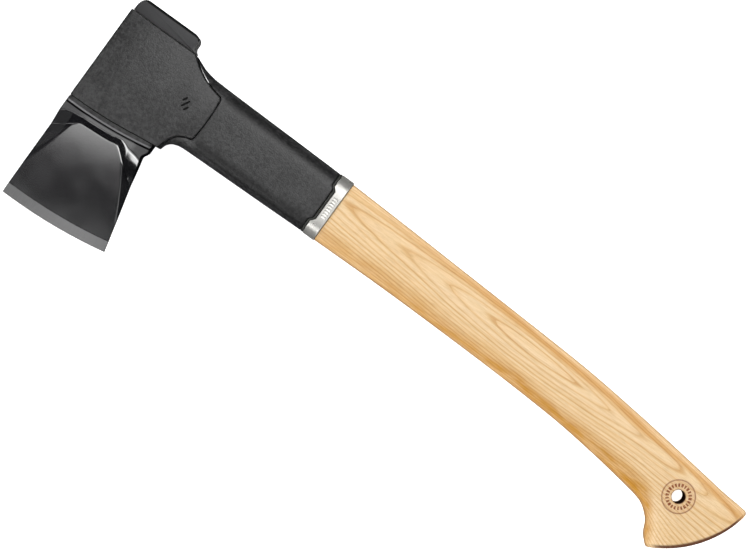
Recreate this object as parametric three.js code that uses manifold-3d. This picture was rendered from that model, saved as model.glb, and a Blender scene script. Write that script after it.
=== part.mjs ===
// A hatchet with a hickory handle, lying on its side. Millimetres, +Z up.
//
// +X runs along the handle, from the head to the knob. +Y points to the poll and -Y to the
// cutting edge. The hatchet's own plane of symmetry is level, at the height MID, and the origin
// is on the lower cheek of the head, under the eye.
//
// Pieces: the forged head (blade, eye and poll), the moulded housing around its eye, the moulded
// neck sleeve, a rubber gasket, a metal collar, the hickory handle with its tenon, and the layer
// of adhesive between the tenon and the sleeve.

import * as THREE from 'three';
import { mergeVertices } from 'three/addons/utils/BufferGeometryUtils.js';
import Module from 'manifold-3d';

const wasm = await Module();
wasm.setup();

// ---------------------------------------------------------------- driving dimensions

const MID = 18;        // height of the plane of symmetry: half of the housing's thickness
const GAP = 0.3;       // clearance between neighbouring pieces

// The blade, its bevel, its shoulder and the housing's rims all follow arcs around one centre.
const SWEEP = { x: -24.4, y: 229.7 };
const EDGE_RADIUS = 340;       // the cutting edge
const BEVEL_RADIUS = 333.3;    // where the ground bevel meets the blade's face
const FACE_RADIUS = 279;       // where the hollow face meets the fillet of the shoulder
const SHOULDER_RADIUS = 275;   // the shoulder's lower border
const LIP_RADIUS = 270.8;      // the housing's lip
const RIM_RADIUS = 266.5;      // the housing's cheek

const blade = {
  toeX: -31.4,              // the straight side of the blade, at the toe
  heelTop: [26.3, -43],     // the slanted side, from the shoulder ...
  heelTip: [41.7, -103.8],  // ... to the corner of the cutting edge
  sideHalf: 3.2,            // half the thickness of those two sides
  sideSlope: 0.57,          // how fast the side facets rise towards the face
  edgeHalf: 0.15,
  bevelHalf: 1.9,
  faceHalf: 10.2,
};

const eye = {
  left: -27,           // the forging's end at the top of the head
  right: 25,           // and the one that faces the neck
  bottom: -33,         // it widens to the shoulder below this height
  half: 14.4,          // half the forging's thickness
};

const shoulder = { left: -31.1, right: 28.2, top: -37.1 };

const poll = {
  left: -29.8,
  right: 14.3,
  foot: 16.5,          // the small foot beside the housing
  bottom: 29,
  top: 39.1,
  half: 15.5,
  corner: 4.5,
  round: 1.2,          // rounding of the edges
};

const housing = {
  left: -31.5,
  top: 28.7,
  half: 18,
  round: 0.9,          // rounding of the cheek's edges
  lipHalf: 16.3,
  lipRound: 0.5,
};

const neck = {
  start: 17,           // under the housing, where the flare begins
  end: 132.6,          // at its two sides
  spigotStart: 25.4,
  spigotEnd: 72.6,
  spigotWidth: 19.5,   // half sizes of the spigot inside the housing
  spigotHalf: 14.8,
};

// The sleeve ends in a tongue on both faces, and the gasket and the collar follow it.
const tongue = { rise: 2.2, inner: 10.5, outer: 12.8 };
const gasket = { start: 132.9, end: 134.2, width: 21.8, half: 16.8 };
const collar = { start: 134.5, end: 143, width: 21.8, half: 17, wall: 2.3 };

const tenon = { start: -26, width: 15, half: 10.5, square: 3 };
const bond = { start: 25.4, end: 136.8, thickness: 1.2 };
const seat = { start: 137, width: 19.2, half: 14.4 };

const handle = { start: 143.3, end: 460.5, holeRadius: 4.25, holeX: 419.2, holeY: -17.8 };

const ROUND = 44;      // sides of a swept body
const FINE = 360;      // steps of a full turn around the sweep's centre

// ---------------------------------------------------------------- solids

// A manifold solid from a closed three.js geometry.
function toSolid(geometry) {
  geometry.deleteAttribute('normal');
  geometry.deleteAttribute('uv');
  const merged = mergeVertices(geometry, 1e-4);
  return new wasm.Manifold(new wasm.Mesh({
    numProp: 3,
    vertProperties: merged.attributes.position.array,
    triVerts: Uint32Array.from(merged.index.array),
  }));
}

// A three.js geometry from a manifold solid.
function toGeometry(solid) {
  const mesh = solid.getMesh();
  const geometry = new THREE.BufferGeometry();
  geometry.setAttribute('position', new THREE.BufferAttribute(mesh.vertProperties, 3));
  geometry.setIndex(new THREE.BufferAttribute(mesh.triVerts, 1));
  geometry.computeVertexNormals();
  return geometry;
}

// A flat outline as a solid of half thickness half around the plane of symmetry. Its two faces
// can have rounded edges, which stay inside the outline.
function plate(shape, half, round = 0, curveSegments = 12) {
  const geometry = new THREE.ExtrudeGeometry(shape, {
    depth: 2 * (half - round),
    curveSegments,
    bevelEnabled: round > 0,
    bevelThickness: round,
    bevelSize: round,
    bevelOffset: -round,
    bevelSegments: 3,
  });
  geometry.translate(0, 0, MID - half + round);
  return toSolid(geometry);
}

// One coordinate of a superellipse, from the same coordinate of the unit circle.
function squared(value, square) {
  return Math.abs(value) < 1e-6 ? 0 : Math.sign(value) * Math.abs(value) ** (2 / square);
}

// A solid along X whose section is a superellipse. profile(x) gives its highest and lowest Y,
// its half thickness and its squareness, where 2 is an ellipse and more is squarer.
function sweptBody(xStart, xEnd, steps, profile) {
  const geometry = new THREE.CylinderGeometry(1, 1, 1, ROUND, steps);
  const position = geometry.attributes.position;
  for (let i = 0; i < position.count; i += 1) {
    const x = THREE.MathUtils.lerp(xStart, xEnd, 0.5 - position.getY(i));
    const { high, low, half, square } = profile(x);
    const y = squared(position.getX(i), square);
    const z = squared(position.getZ(i), square);
    position.setXYZ(i, x, (high + low) / 2 + y * (high - low) / 2, MID + z * half);
  }
  return toSolid(geometry);
}

// A swept body with the same section all along, centred on the handle's axis.
function straightBody(xStart, xEnd, width, half, square = tenon.square) {
  return sweptBody(xStart, xEnd, 1, () => ({ high: width, low: -width, half, square }));
}

// A smooth height over x, through a few points.
function through(points, x) {
  const last = points.length - 1;
  let i = 0;
  while (i < last - 1 && x > points[i + 1][0]) {
    i += 1;
  }
  const slope = (k) => {
    const before = points[Math.max(k - 1, 0)];
    const after = points[Math.min(k + 1, last)];
    return (after[1] - before[1]) / (after[0] - before[0]);
  };
  const [x0, y0] = points[i];
  const [x1, y1] = points[i + 1];
  const span = x1 - x0;
  const t = THREE.MathUtils.clamp((x - x0) / span, 0, 1);
  const chord = (y1 - y0) / span;
  const bend = (slope(i) - chord) * (1 - t) - (slope(i + 1) - chord) * t;
  return y0 + (y1 - y0) * t + span * t * (1 - t) * bend;
}

// A point on an arc around the sweep's centre, at a given x.
function onSweep(radius, x) {
  const across = x - SWEEP.x;
  return new THREE.Vector2(x, SWEEP.y - Math.sqrt(radius * radius - across * across));
}

// Adds an arc around the sweep's centre to a shape, from its present point to x.
function sweepTo(shape, radius, x) {
  const angle = (p) => Math.atan2(p.y - SWEEP.y, p.x - SWEEP.x);
  const from = angle(shape.currentPoint);
  const to = angle(onSweep(radius, x));
  shape.absarc(SWEEP.x, SWEEP.y, radius, from, to, to < from);
}

// ---------------------------------------------------------------- forged head

// The blade: a section that is turned around the sweep's centre, and cut by its two sides.
function bladeSolid() {
  const half = new THREE.Path();
  half.moveTo(SHOULDER_RADIUS - 3, eye.half);
  half.lineTo(SHOULDER_RADIUS, eye.half);
  half.quadraticCurveTo(SHOULDER_RADIUS + 1, blade.faceHalf + 0.6, FACE_RADIUS, blade.faceHalf);
  half.quadraticCurveTo(306, 3.9, BEVEL_RADIUS, blade.bevelHalf);
  half.lineTo(EDGE_RADIUS, blade.edgeHalf);
  const upper = half.getPoints(10);
  const lower = upper.map((p) => new THREE.Vector2(p.x, -p.y));
  // A lathe's profile runs upwards on the outside, so the section goes round from below.
  const section = [...lower, ...upper.reverse(), lower[0].clone()];
  const turned = new THREE.LatheGeometry(section, FINE);
  turned.rotateX(Math.PI / 2);
  turned.translate(SWEEP.x, SWEEP.y, MID);
  return toSolid(turned).intersect(bladeSide([blade.toeX, -40], [blade.toeX, -120], 1))
    .intersect(bladeSide(blade.heelTop, blade.heelTip, -1));
}

// All that lies inside one side of the blade: the thin side, and the facets that rise from it.
// The side runs through two points, and inward is 1 or -1 along X.
function bladeSide(start, end, inward) {
  const reach = 110;
  const rise = blade.sideHalf + blade.sideSlope * reach;
  const shape = new THREE.Shape([
    new THREE.Vector2(0, -blade.sideHalf),
    new THREE.Vector2(reach * inward, -rise),
    new THREE.Vector2(reach * inward, rise),
    new THREE.Vector2(0, blade.sideHalf),
  ]);
  const geometry = new THREE.ExtrudeGeometry(shape, { depth: 200, bevelEnabled: false });
  geometry.rotateX(Math.PI / 2);
  geometry.translate(0, 60, 0);
  geometry.rotateZ(Math.atan2(end[1] - start[1], end[0] - start[0]) + Math.PI / 2);
  geometry.translate(start[0], start[1], MID);
  return toSolid(geometry);
}

// The shoulder above the blade, whose lower border is an arch.
function shoulderSolid() {
  const shape = new THREE.Shape();
  shape.moveTo(shoulder.left, shoulder.top);
  shape.lineTo(shoulder.left, -45);
  shape.quadraticCurveTo(-27, -46.2, -23, onSweep(SHOULDER_RADIUS, -23).y);
  sweepTo(shape, SHOULDER_RADIUS, 15);
  shape.quadraticCurveTo(23, -42, 26.3, -45.5);
  shape.lineTo(26.2, -41.5);
  shape.quadraticCurveTo(28.2, -39, shoulder.right, -36.5);
  shape.lineTo(shoulder.right, eye.bottom);
  shape.lineTo(eye.right, eye.bottom);
  shape.lineTo(eye.left, shoulder.top);
  return plate(shape, eye.half);
}

// The middle of the forging, around the eye.
function eyeSolid() {
  const shape = new THREE.Shape();
  shape.moveTo(eye.left, shoulder.top - 1);
  shape.lineTo(eye.right, eye.bottom - 1);
  shape.lineTo(eye.right, 17);
  shape.lineTo(poll.right, 25);
  shape.lineTo(poll.right, poll.bottom + 1);
  shape.lineTo(eye.left, poll.bottom + 1);
  return plate(shape, eye.half);
}

// The striking face at the back of the head, with a small foot beside the housing.
function pollSolid() {
  const { left, right, bottom, top, corner, foot } = poll;
  const block = new THREE.Shape();
  block.moveTo(left, bottom);
  block.lineTo(right, bottom);
  block.lineTo(right, top - corner);
  block.quadraticCurveTo(right - 0.4, top, right - corner, top);
  block.lineTo(left + corner, top);
  block.quadraticCurveTo(left + 0.4, top, left, top - corner);
  const heel = new THREE.Shape();
  heel.moveTo(right - 5, bottom);
  heel.lineTo(foot, bottom);
  heel.lineTo(right + 0.6, bottom + 1.4);
  heel.lineTo(right - 1, bottom + 3);
  return plate(block, poll.half, poll.round, 6).add(plate(heel, poll.half - poll.round));
}

function forgedHead() {
  const hole = straightBody(eye.left - 5, eye.right + 15, tenon.width + GAP, tenon.half + GAP);
  return eyeSolid().add(shoulderSolid()).add(pollSolid()).subtract(hole).add(bladeSolid());
}

// ---------------------------------------------------------------- head housing

// The outline of the cheek, a little larger where grow is more than 0.
function cheekShape(grow = 0) {
  const shape = new THREE.Shape();
  shape.moveTo(housing.left - grow, housing.top + grow);
  shape.lineTo(housing.left - grow, onSweep(RIM_RADIUS, housing.left).y - grow);
  sweepTo(shape, RIM_RADIUS + grow, 16);
  shape.lineTo(32.1 + grow, -31.9 - grow);
  shape.bezierCurveTo(33 + grow, -22.5, 37.5 + grow, -17.2 - grow, 44.3 + grow, -15.8 - grow);
  shape.quadraticCurveTo(46.3 + grow, -15.4 - grow, 46.5 + grow, -13.5);
  shape.quadraticCurveTo(48 + grow, 0, 46.5 + grow, 13);
  shape.quadraticCurveTo(46.2 + grow, 15.8 + grow, 44 + grow, 16.2 + grow);
  shape.bezierCurveTo(33 + grow, 18 + grow, 25 + grow, 22 + grow, 17.2 + grow,
    housing.top + grow);
  return shape;
}

// The thinner lip that lies on the shoulder of the forging.
function lipShape() {
  const shape = new THREE.Shape();
  shape.moveTo(shoulder.left, -30);
  shape.lineTo(shoulder.left, onSweep(LIP_RADIUS, shoulder.left).y);
  sweepTo(shape, LIP_RADIUS, shoulder.right);
  shape.lineTo(shoulder.right, -30);
  return shape;
}

// The room for the forging inside the housing, open at the blade and at the poll.
function forgingRoom() {
  const shape = new THREE.Shape();
  shape.moveTo(eye.left - GAP, -60);
  shape.lineTo(eye.right + GAP, -60);
  shape.lineTo(eye.right + GAP, 17 + GAP);
  shape.lineTo(poll.right + GAP, 25 + GAP);
  shape.lineTo(poll.right + GAP, 50);
  shape.lineTo(eye.left - GAP, 50);
  return plate(shape, eye.half + GAP);
}

// The room for the shoulder under the lips, open at the toe and at the heel.
function shoulderRoom() {
  const shape = new THREE.Shape();
  shape.moveTo(-40, shoulder.top + GAP);
  shape.lineTo(-40, -60);
  shape.lineTo(50, -60);
  shape.lineTo(50, eye.bottom + GAP);
  shape.lineTo(eye.right, eye.bottom + GAP);
  shape.lineTo(eye.left, shoulder.top + GAP);
  return plate(shape, eye.half + GAP);
}

function headHousing() {
  const width = neck.spigotWidth + GAP;
  const room = straightBody(eye.right - 1, neck.end, width, neck.spigotHalf + GAP);
  return plate(cheekShape(), housing.half, housing.round)
    .add(plate(lipShape(), housing.lipHalf, housing.lipRound))
    .subtract(forgingRoom()).subtract(shoulderRoom()).subtract(room);
}

// ---------------------------------------------------------------- neck sleeve

const NECK_HIGH = [[16, 29.3], [22, 26.9], [28, 24.7], [37, 23.3], [60, 22.7], [100, 22], [134, 21.3]];
const NECK_LOW = [[32, -32], [34.5, -26.8], [40, -23.4], [60, -22.9], [100, -22.1], [134, -21.4]];

function neckProfile(x) {
  return {
    high: through(NECK_HIGH, x),
    low: through(NECK_LOW, Math.max(x, 32)),
    half: THREE.MathUtils.mapLinear(x, 20, 134, 17.2, 16.5),
    square: 4.5,
  };
}

// Everything on the head's side of the tongue's outline, when the outline stands at x.
function headSide(x) {
  const { rise, inner, outer } = tongue;
  const shape = new THREE.Shape();
  shape.moveTo(-60, -40);
  shape.lineTo(x, -40);
  shape.lineTo(x, -outer);
  shape.lineTo(x + rise, -inner);
  shape.lineTo(x + rise, inner);
  shape.lineTo(x, outer);
  shape.lineTo(x, 40);
  shape.lineTo(-60, 40);
  return plate(shape, 40);
}

function neckSleeve() {
  const outside = sweptBody(neck.start, neck.end + 4, 28, neckProfile);
  const width = neck.spigotWidth;
  const spigot = straightBody(neck.spigotStart, neck.spigotEnd, width, neck.spigotHalf);
  const clear = bond.thickness + 2 * GAP;
  const bore = straightBody(0, 200, tenon.width + clear, tenon.half + clear);
  return outside.subtract(plate(cheekShape(GAP), 40)).intersect(headSide(neck.end))
    .add(spigot).subtract(forgingEnd()).subtract(bore);
}

// Keeps the sleeve's flare clear of the poll and of the forging's shoulder.
function forgingEnd() {
  const shape = new THREE.Shape();
  shape.moveTo(-50, -60);
  shape.lineTo(shoulder.right + GAP, -60);
  shape.lineTo(shoulder.right + GAP, eye.bottom + GAP);
  shape.lineTo(eye.right + GAP, eye.bottom + GAP);
  shape.lineTo(eye.right + GAP, 17 + GAP);
  shape.lineTo(15, 28);
  shape.lineTo(15, poll.bottom - GAP);
  shape.lineTo(30, poll.bottom - GAP);
  shape.lineTo(30, 50);
  shape.lineTo(-50, 50);
  return plate(shape, 40);
}

// ---------------------------------------------------------------- gasket and collar

function collarGasket() {
  const clear = bond.thickness + 2 * GAP;
  const ring = straightBody(gasket.start - 5, gasket.end + 5, gasket.width, gasket.half, 4.2);
  const bore = straightBody(0, 200, tenon.width + clear, tenon.half + clear);
  return ring.intersect(headSide(gasket.end)).subtract(headSide(gasket.start)).subtract(bore);
}

function collarRing() {
  const { start, end, width, half, wall } = collar;
  const ring = straightBody(start - 5, end, width, half, 4);
  const bore = straightBody(0, 200, width - wall, half - wall, 4);
  return ring.subtract(headSide(start)).subtract(bore);
}

// ---------------------------------------------------------------- handle

const HANDLE_HIGH = [[143, 20.8], [185, 19.3], [265, 16.1], [325, 13.5], [377, 8.5], [425, 2.9],
  [461, -1.6]];
const HANDLE_LOW = [[143, -21.2], [195, -20.9], [265, -21.7], [325, -23.9], [365, -27.8],
  [392, -32], [407, -37.8], [416, -48.3], [422, -54.7]];
const HANDLE_HALF = [[143, 16.3], [175, 14.8], [215, 13.4], [300, 12.6], [360, 12.9], [400, 14],
  [461, 14.2]];

function handleProfile(x) {
  return {
    high: through(HANDLE_HIGH, x),
    low: through(HANDLE_LOW, Math.min(x, 422)) - Math.max(x - 422, 0) * 0.1,
    half: through(HANDLE_HALF, x),
    square: THREE.MathUtils.clamp(THREE.MathUtils.mapLinear(x, 143, 260, 4, 2.6), 2.6, 4),
  };
}

// The knob's end: a broad arc from the tip of the beak to the corner on the poll's side.
function handleOutline() {
  const shape = new THREE.Shape();
  shape.moveTo(130, 40);
  shape.lineTo(130, -70);
  shape.lineTo(421, -70);
  shape.lineTo(421.5, -54.9);
  shape.bezierCurveTo(444, -45.5, 458.5, -24, handle.end, -6);
  shape.lineTo(handle.end, 40);
  return plate(shape, 40);
}

function hickoryHandle() {
  const grip = sweptBody(handle.start, handle.end + 6, 52, handleProfile).intersect(handleOutline());
  const collarSeat = straightBody(seat.start, handle.start + 5, seat.width, seat.half, 4);
  const tongueIntoHead = straightBody(tenon.start, handle.start + 5, tenon.width, tenon.half);
  const hole = new THREE.CylinderGeometry(handle.holeRadius, handle.holeRadius, 80, 32);
  hole.rotateX(Math.PI / 2);
  hole.translate(handle.holeX, handle.holeY, MID);
  return grip.add(collarSeat).add(tongueIntoHead).subtract(toSolid(hole));
}

function adhesiveLayer() {
  const inner = straightBody(0, 200, tenon.width + GAP, tenon.half + GAP);
  const outer = GAP + bond.thickness;
  const tube = straightBody(bond.start, bond.end - GAP, tenon.width + outer, tenon.half + outer);
  return tube.subtract(inner);
}

// ---------------------------------------------------------------- the hatchet

const composite = { color: 0x3a3a3b, roughness: 0.6, metalness: 0 };

const pieces = [
  ['forged_head', forgedHead(), { color: 0x2b2b2d, roughness: 0.35, metalness: 0.6 }],
  ['head_housing', headHousing(), composite],
  ['neck_sleeve', neckSleeve(), composite],
  ['collar_gasket', collarGasket(), { color: 0x23241f, roughness: 0.8, metalness: 0 }],
  ['collar', collarRing(), { color: 0xd9d9d4, roughness: 0.3, metalness: 1 }],
  ['handle', hickoryHandle(), { color: 0xe2b97e, roughness: 0.5, metalness: 0 }],
  ['tenon_adhesive', adhesiveLayer(), { color: 0xb9a77c, roughness: 0.6, metalness: 0 }],
];

const hatchet = new THREE.Group();
for (const [name, solid, finish] of pieces) {
  const mesh = new THREE.Mesh(toGeometry(solid), new THREE.MeshStandardMaterial(finish));
  mesh.name = name;
  hatchet.add(mesh);
}

export default hatchet;
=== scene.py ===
import math

import bmesh
import bpy
import numpy as np
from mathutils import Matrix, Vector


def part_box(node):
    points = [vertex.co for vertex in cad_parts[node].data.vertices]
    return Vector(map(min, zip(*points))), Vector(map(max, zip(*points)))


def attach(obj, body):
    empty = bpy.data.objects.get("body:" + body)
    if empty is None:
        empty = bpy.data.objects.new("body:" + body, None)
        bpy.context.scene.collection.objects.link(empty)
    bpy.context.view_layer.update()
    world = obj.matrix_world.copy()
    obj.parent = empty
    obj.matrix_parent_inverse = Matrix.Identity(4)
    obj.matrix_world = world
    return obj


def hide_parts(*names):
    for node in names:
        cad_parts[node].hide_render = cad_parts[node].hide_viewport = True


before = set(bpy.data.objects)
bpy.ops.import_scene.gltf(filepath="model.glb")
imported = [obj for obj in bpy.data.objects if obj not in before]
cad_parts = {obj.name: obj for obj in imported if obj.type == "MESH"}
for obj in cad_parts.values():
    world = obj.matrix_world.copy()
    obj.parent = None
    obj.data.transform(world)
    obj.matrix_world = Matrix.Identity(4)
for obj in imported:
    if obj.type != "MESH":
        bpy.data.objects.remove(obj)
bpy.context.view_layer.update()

# A hatchet that lies on its side: a forged head in a moulded housing, a moulded neck sleeve, a
# gasket, a metal collar and a hickory handle. +X runs along the handle, +Y points to the poll.
# Shapes are worked out in millimetres and turned into metres when a mesh is made.

MM = 0.001


def box_mm(node):
    """The lowest and highest corner of a CAD node, in millimetres."""
    low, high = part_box(node)
    return np.array(low) / MM, np.array(high) / MM


HOUSING_LOW, HOUSING_HIGH = box_mm("head_housing")
HEAD_LOW, HEAD_HIGH = box_mm("forged_head")
COLLAR_LOW, COLLAR_HIGH = box_mm("collar")
GASKET_LOW, GASKET_HIGH = box_mm("collar_gasket")
HANDLE_START = box_mm("handle")[0][0]

MID = (HOUSING_LOW[2] + HOUSING_HIGH[2]) / 2  # height of the plane of symmetry
GAP = 0.25  # clearance between neighbouring pieces
SLEEVE_START, SLEEVE_END = 15.0, GASKET_LOW[0] - GAP
SEAM = 0.5  # shadow line between the sleeve and the cheeks

# The blade, its bevel, its shoulder and the housing's rims follow arcs around one centre.
SWEEP = np.array([-24.4, 229.7])
EDGE_RADIUS = 340.0
BEVEL_RADIUS = 333.3
SHOULDER_RADIUS = 273.7
LIP_RADIUS = 270.8
RIM_RADIUS = 266.5

EYE_LEFT, EYE_RIGHT = -27.0, 25.0  # the forging inside the housing
EYE_HALF = 14.4
LIP_HALF = 16.3  # half the housing's thickness at its lip
MARK_X = 29.9  # the middle of the mark on the cheeks
SPIGOT_WIDTH, SPIGOT_HALF = 19.5, 14.8  # half sizes of the sleeve's spigot
BEYOND_CHEEK = 80.0  # x where the bar that shapes it ends
TENON_WIDTH, TENON_HALF = 15.0, 10.5  # half sizes of the handle's tenon
BORE_CLEARANCE = 1.8  # from the tenon to the sleeve's bore

# The tongue on the sleeve's end: its reach, and the half widths of its tip and its root.
TONGUE_RISE, TONGUE_INNER, TONGUE_OUTER = 2.2, 10.5, 12.8

HOLE = (419.2, -17.8)  # the hanging hole in the knob
HOLE_RADIUS = 4.25
TICKS, TICK_RADIUS, CIRCLE_RADIUS = 22, 7.2, 10.4  # the brand round it
END_CENTRE = (386.4, 11.6)  # of the arc that ends the knob
END_RADIUS = 75.0

TENON_SQUARE = 3.0  # power of its superellipse; 2 is an ellipse
AROUND = 208  # points round a swept piece, a multiple of 4


# ---- curves and outlines

def through(points, x):
    """A smooth curve over x through a few points, without bumps between them."""
    px, py = np.array(points, float).T
    step = np.diff(py) / np.diff(px)
    before, after = step[:-1], step[1:]
    same_way = before * after > 0
    both = np.where(same_way, before + after, 1)
    middle = np.where(same_way, 2 * before * after / both, 0)
    slope = np.concatenate([step[:1], middle, step[-1:]])
    x = np.clip(x, px[0], px[-1])
    i = np.clip(np.searchsorted(px, x) - 1, 0, len(px) - 2)
    span = px[i + 1] - px[i]
    t = (x - px[i]) / span
    start = (1 + 2 * t) * (1 - t) ** 2 * py[i] + t * (1 - t) ** 2 * span * slope[i]
    end = t * t * (3 - 2 * t) * py[i + 1] + t * t * (t - 1) * span * slope[i + 1]
    return start + end


def smooth(low, high, value):
    """0 below low, 1 above high, and a smooth step between."""
    t = np.clip((value - low) / (high - low), 0, 1)
    return t * t * (3 - 2 * t)


def lengths_along(points):
    """How far each point is along a line of points."""
    return np.concatenate([[0], np.cumsum(np.hypot(*np.diff(points, axis=0).T))])


def superellipse(square, count=AROUND):
    """Evenly spaced points round a superellipse of half size 1, as columns Y and Z."""
    angle = np.linspace(0, np.pi / 2, 4001)
    across = np.cos(angle) ** (2 / square)
    up = np.sin(angle) ** (2 / square)
    length = lengths_along(np.column_stack([across, up]))
    even = np.linspace(0, length[-1], count // 4 + 1)
    y = np.interp(even, length, across)
    z = np.interp(even, length, up)
    first = np.column_stack([y, z])[:-1]
    second = np.column_stack([-y[::-1], z[::-1]])[:-1]
    return np.concatenate([first, second, -first, -second])


def bezier(points, count):
    """Points along a Bezier curve, without its last one."""
    layer = [np.array(p, float)[None, :] for p in points]
    t = np.linspace(0, 1, count + 1)[:-1, None]
    while len(layer) > 1:
        layer = [a * (1 - t) + b * t for a, b in zip(layer, layer[1:])]
    return layer[0]


def sweep_y(radius, x):
    """The y at x of an arc around the sweep's centre."""
    return SWEEP[1] - np.sqrt(radius ** 2 - (x - SWEEP[0]) ** 2)


def sweep_arc(radius, x_start, x_end, count):
    """Points on an arc around the sweep's centre, between two x, without the last one."""
    x = np.linspace(x_start, x_end, count + 1)[:-1]
    return np.column_stack([x, sweep_y(radius, x)])


def circle(radius):
    turn = np.linspace(0, math.tau, 65)[:-1]
    return radius * np.column_stack([np.cos(turn), np.sin(turn)])


def raised(xy, height):
    """Points in a plane, put at a height or each at its own."""
    return np.column_stack([xy, np.full(len(xy), height)])


def fillet(before, corner, after, radius, count=5):
    """A rounded corner, as points."""
    before, corner, after = (np.array(p, float) for p in (before, corner, after))
    into = (before - corner) / np.linalg.norm(before - corner)
    out = (after - corner) / np.linalg.norm(after - corner)
    half = math.acos(np.clip(into @ out, -1, 1)) / 2
    reach = radius / math.tan(half)
    start, end = corner + into * reach, corner + out * reach
    return np.vstack([bezier([start, corner, end], count), end])


def tongue(y):
    """How far the tongue on the sleeve's end reaches along X at a given y."""
    return TONGUE_RISE * np.interp(np.abs(y), [TONGUE_INNER, TONGUE_OUTER], [1, 0])


def inset(outline, distance):
    """A closed outline, counter-clockwise or clockwise, moved inwards."""
    ahead = np.roll(outline, -1, 0) - outline
    ahead /= np.linalg.norm(ahead, axis=1)[:, None]
    behind = np.roll(ahead, 1, 0)
    x, y = outline.T
    turning = np.sign(np.sum(x * np.roll(y, -1) - np.roll(x, -1) * y))
    normal = lambda d: turning * np.column_stack([-d[:, 1], d[:, 0]])
    middle = normal(ahead) + normal(behind)
    middle /= np.linalg.norm(middle, axis=1)[:, None]
    stretch = np.clip(np.sum(middle * normal(ahead), 1), 0.5, 1)
    return outline + middle * (distance / stretch)[:, None]


# ---- meshes

def add_object(name, data):
    thing = bpy.data.objects.new(name, data)
    bpy.context.scene.collection.objects.link(thing)
    return thing


def new_object(name, vertices, faces):
    """An object from vertices in millimetres, with its normals pointing out."""
    mesh = bpy.data.meshes.new(name)
    mesh.from_pydata((np.array(vertices) * MM).tolist(), [], faces)
    shape = bmesh.new()
    shape.from_mesh(mesh)
    bmesh.ops.recalc_face_normals(shape, faces=shape.faces)
    shape.to_mesh(mesh)
    shape.free()
    return add_object(name, mesh)


def strip(upper, lower):
    """Faces between two closed loops of vertex numbers."""
    ahead = [*range(1, len(upper)), 0]
    return [(upper[j], upper[k], lower[k], lower[j]) for j, k in enumerate(ahead)]


def loops_of(rings):
    """The vertex numbers of each ring, and the faces from ring to ring."""
    count = len(rings[0])
    loops = [range(first, first + count) for first in range(0, len(rings) * count, count)]
    faces = []
    for upper, lower in zip(loops, loops[1:]):
        faces += strip(upper, lower)
    return loops, faces


def from_rings(name, rings, tube=False):
    """A closed piece from rings of points. A tube's last ring joins its first one."""
    loops, faces = loops_of(rings)
    if tube:
        faces += strip(loops[-1], loops[0])
    else:
        faces += [tuple(loops[0]), tuple(loops[-1])]
    return new_object(name, np.vstack(rings), faces)


def ring_at(x, section, tongue_share=0.0):
    """A ring of section points at x, whose middle can follow the sleeve's tongue."""
    return np.column_stack([x + tongue_share * tongue(section[:, 0]), section + (0, MID)])


def plate(name, outline, edge):
    """A flat piece around the plane of symmetry.

    edge lists (distance in from the outline, half height), from the border to the flat face.
    """
    rings = []
    for side, levels in ((-1, edge[::-1]), (1, edge)):
        for distance, height in levels:
            rings.append(raised(inset(outline, distance), MID + side * height))
    return from_rings(name, rings)


def rounded(half, radius, steps=4):
    """The edge of a plate, rounded with a radius."""
    turns = np.linspace(0, math.pi / 2, steps + 1)
    return [(radius * (1 - math.cos(t)), half - radius * (1 - math.sin(t))) for t in turns]


def straight(name, x_start, x_end, width, half):
    """A bar along X with the tenon's superellipse section."""
    section = superellipse(TENON_SQUARE, 96) * (width, half)
    return from_rings(name, [ring_at(x, section) for x in (x_start, x_end)])


def combine(piece, other, operation):
    """Cuts, joins or intersects piece with other, which is used up."""
    change = piece.modifiers.new("combine", "BOOLEAN")
    change.operation = operation
    change.solver = "EXACT"
    change.object = other
    graph = bpy.context.evaluated_depsgraph_get()
    mesh = bpy.data.meshes.new_from_object(piece.evaluated_get(graph))
    piece.modifiers.clear()
    old = piece.data
    piece.data = mesh
    bpy.data.meshes.remove(old)
    bpy.data.objects.remove(other)


def finish_piece(piece, node, material, angle=32):
    """Shades a piece and puts it in its CAD node's place."""
    mesh = piece.data
    mesh.materials.clear()
    mesh.materials.append(material)
    mesh.shade_smooth()
    mesh.set_sharp_from_angle(angle=math.radians(angle))
    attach(piece, "root")
    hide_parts(node)


# ---- materials

def new_material(name, metallic=0.0, roughness=0.5):
    material = bpy.data.materials.new(name)
    material.use_nodes = True
    shader = material.node_tree.nodes["Principled BSDF"]
    shader.inputs["Metallic"].default_value = metallic
    shader.inputs["Roughness"].default_value = roughness
    return material, shader


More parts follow.
